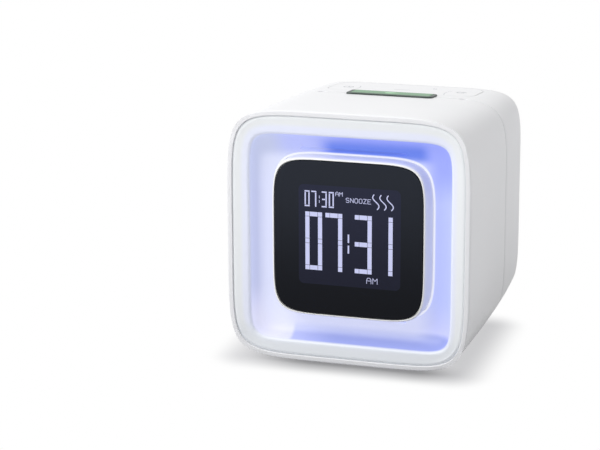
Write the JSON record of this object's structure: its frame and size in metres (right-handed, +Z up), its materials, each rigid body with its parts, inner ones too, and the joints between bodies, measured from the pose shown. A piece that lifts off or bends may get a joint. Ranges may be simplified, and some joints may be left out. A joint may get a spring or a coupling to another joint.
{
  "type": "scent alarm clock",
  "caption": "Small crowned bedside alarm clock with a lit trough round a raised display, a fan, rear push buttons and a lift-out scent cartridge in the top.",
  "frame": {"origin": "centre of the bounding box, on the floor under the feet", "axes": "+X to the clock's right as seen from the front, -Y towards the viewer, +Z up"},
  "size_m": [0.105, 0.1224, 0.1087],
  "materials": {
    "white_shell": "satin white",
    "light_frame": "translucent satin, lit from behind",
    "pod_satin": "satin",
    "black_window": "polished black",
    "lcd_glass": "smooth",
    "light_guide": "frosted",
    "circuit_board": "solder mask",
    "duct_plastic": "matte",
    "cartridge_grey": "fine matte",
    "cap_dark": "fine matte",
    "label_green": "satin green",
    "scent_block": "porous",
    "fan_black": "matte",
    "copper_coils": "enamelled copper",
    "zinc_steel": "zinc plated",
    "black_plastic": "matte",
    "button_grey": "matte",
    "foot_rubber": "matte rubber",
    "speaker_paper": "pressed paper"
  },
  "bodies": {
    "housing": {"housing_sleeve": "white_shell", "rear_cover": "white_shell", "touch_panel": "white_shell", "light_frame": "light_frame", "display_pod": "pod_satin", "display_window": "black_window", "lcd_module": "lcd_glass", "backlight_plate": "light_guide", "display_board": "circuit_board", "led_ring_board": "circuit_board", "touch_board": "circuit_board", "main_board": "circuit_board", "button_board": "circuit_board", "air_duct": "duct_plastic", "cartridge_bay": "duct_plastic", "fan_frame": "fan_black", "fan_stator": "copper_coils", "coin_cell": "zinc_steel", "coin_cell_holder": "black_plastic", "dc_inlet": "black_plastic", "speaker_basket": "black_plastic", "speaker_cone": "speaker_paper", "cover_screw_top_left": "zinc_steel", "cover_screw_top_right": "zinc_steel", "cover_screw_low_left": "zinc_steel", "cover_screw_low_right": "zinc_steel", "foot_front_left": "foot_rubber", "foot_front_right": "foot_rubber", "foot_rear_left": "foot_rubber", "foot_rear_right": "foot_rubber"},
    "cartridge": {"cartridge_body": "cartridge_grey", "cartridge_cap": "cap_dark", "cartridge_label": "label_green", "scent_insert": "scent_block"},
    "fan_rotor": {"fan_impeller": "fan_black"},
    "button_alarm_key": {"button_alarm": "button_grey"},
    "button_clock_key": {"button_clock": "button_grey"},
    "button_minus_key": {"button_minus": "button_grey"},
    "button_plus_key": {"button_plus": "button_grey"}
  },
  "joints": [
    {"name": "cartridge_slide", "type": "slide", "parent": "housing", "child": "cartridge", "axis": [0, 0.0523, 0.9986], "range_m": [0, 0.086]},
    {"name": "fan_spin", "type": "hinge", "parent": "housing", "child": "fan_rotor", "pos_m": [0, 0.02118, 0.04421], "axis": [0, 0.9986, -0.0523], "continuous": true},
    {"name": "button_alarm_press", "type": "slide", "parent": "housing", "child": "button_alarm_key", "axis": [0, -0.9986, 0.0523], "range_m": [0, 0.0006], "stiffness_N_per_m": 400},
    {"name": "button_clock_press", "type": "slide", "parent": "housing", "child": "button_clock_key", "axis": [0, -0.9986, 0.0523], "range_m": [0, 0.0006], "stiffness_N_per_m": 400},
    {"name": "button_minus_press", "type": "slide", "parent": "housing", "child": "button_minus_key", "axis": [0, -0.9986, 0.0523], "range_m": [0, 0.0006], "stiffness_N_per_m": 400},
    {"name": "button_plus_press", "type": "slide", "parent": "housing", "child": "button_plus_key", "axis": [0, -0.9986, 0.0523], "range_m": [0, 0.0006], "stiffness_N_per_m": 400}
  ]
}
